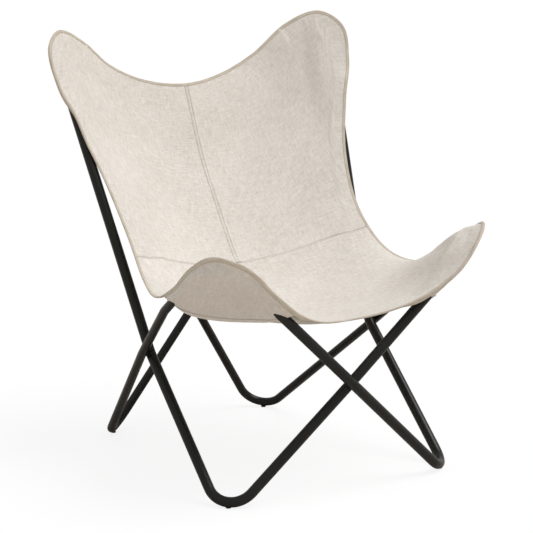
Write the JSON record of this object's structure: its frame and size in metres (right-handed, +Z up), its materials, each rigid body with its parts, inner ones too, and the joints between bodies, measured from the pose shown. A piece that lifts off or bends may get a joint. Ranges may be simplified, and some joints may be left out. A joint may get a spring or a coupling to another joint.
{
  "type": "lounge chair",
  "caption": "Butterfly sling chair: a sewn canvas sling slipped over the tips of a crossed, bent and welded steel tube frame.",
  "frame": {"origin": "on the floor under the middle of the chair's bounding box", "axes": "+Z up, the front of the chair faces -Y, +X to the right as seen from the front"},
  "size_m": [0.7312, 0.7406, 0.889],
  "materials": {
    "frame_black": "satin black powder coat",
    "weld_black": "satin black powder coat over a weld bead",
    "spigot_steel": "plain turned steel",
    "glide_plastic": "matte black",
    "canvas": "matte natural cotton canvas with a slubby weave",
    "binding_tape": "matte woven tape"
  },
  "bodies": {
    "root": {"left_front_leg_tube": "frame_black", "right_front_leg_tube": "frame_black", "left_rear_leg_tube": "frame_black", "right_rear_leg_tube": "frame_black", "left_rear_spigot": "spigot_steel", "right_rear_spigot": "spigot_steel", "left_front_spigot": "spigot_steel", "right_front_spigot": "spigot_steel", "left_front_glide": "glide_plastic", "right_front_glide": "glide_plastic", "left_rear_glide": "glide_plastic", "right_rear_glide": "glide_plastic", "front_weld": "weld_black", "back_weld": "weld_black", "left_weld": "weld_black", "right_weld": "weld_black", "left_back_panel": "canvas", "right_back_panel": "canvas", "seat_panel": "canvas", "left_rear_pocket": "canvas", "right_rear_pocket": "canvas", "left_front_pocket": "canvas", "right_front_pocket": "canvas", "edge_binding": "binding_tape"}
  },
  "joints": []
}
